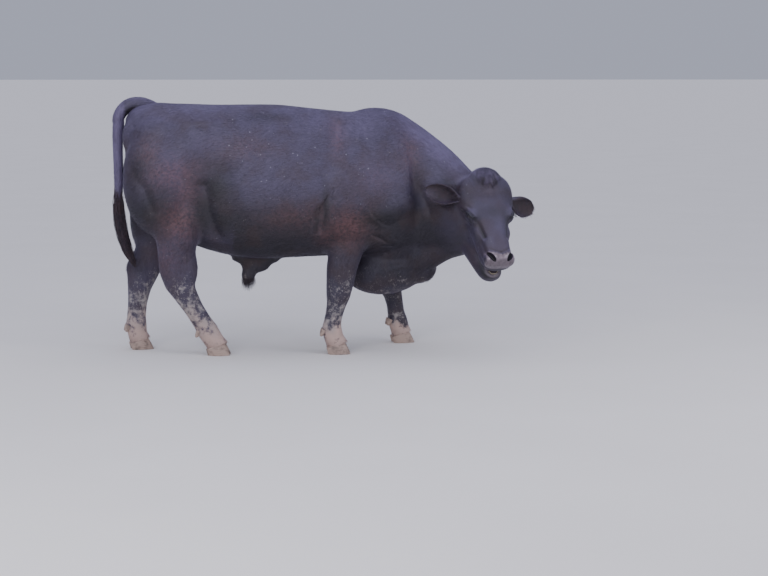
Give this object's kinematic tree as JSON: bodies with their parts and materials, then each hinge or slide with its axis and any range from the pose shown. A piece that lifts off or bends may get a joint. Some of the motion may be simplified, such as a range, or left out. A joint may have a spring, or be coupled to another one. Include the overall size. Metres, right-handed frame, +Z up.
{
  "type": "angus bull",
  "caption": "Life-size still model of a polled black Angus bull in a slow stride, its head turned aside and lowered, standing on its hooves.",
  "frame": {"origin": "on the ground, under the middle of the bull's bounding box", "axes": "+X the way the body faces, +Y to the bull's left, +Z up"},
  "size_m": [2.4112, 0.9396, 1.4636],
  "materials": {
    "coat": "short sleek black hair with a bluish sheen on the back and rusty brown patches",
    "hair": "long dull brown-black hair of the tail switch",
    "horn": "worn grey-brown hoof horn with dried mud",
    "tooth": "yellowed enamel of the lower front teeth",
    "eye": "wet dark brown eye"
  },
  "bodies": {
    "root": {"claw_fore_left_inner": "horn", "claw_fore_left_outer": "horn", "claw_fore_right_inner": "horn", "claw_fore_right_outer": "horn", "claw_hind_left_inner": "horn", "claw_hind_left_outer": "horn", "claw_hind_right_inner": "horn", "claw_hind_right_outer": "horn", "dewclaw_fore_left_inner": "horn", "dewclaw_fore_left_outer": "horn", "dewclaw_fore_right_inner": "horn", "dewclaw_fore_right_outer": "horn", "dewclaw_hind_left_inner": "horn", "dewclaw_hind_left_outer": "horn", "dewclaw_hind_right_inner": "horn", "dewclaw_hind_right_outer": "horn", "ear_left": "coat", "ear_right": "coat", "eye_left": "eye", "eye_right": "eye", "foreleg_left": "coat", "foreleg_right": "coat", "head": "coat", "hindleg_left": "coat", "hindleg_right": "coat", "incisors": "tooth", "lower_jaw": "coat", "neck": "coat", "scrotum": "coat", "sheath": "coat", "tail": "coat", "tail_switch": "hair", "torso": "coat"}
  },
  "joints": []
}
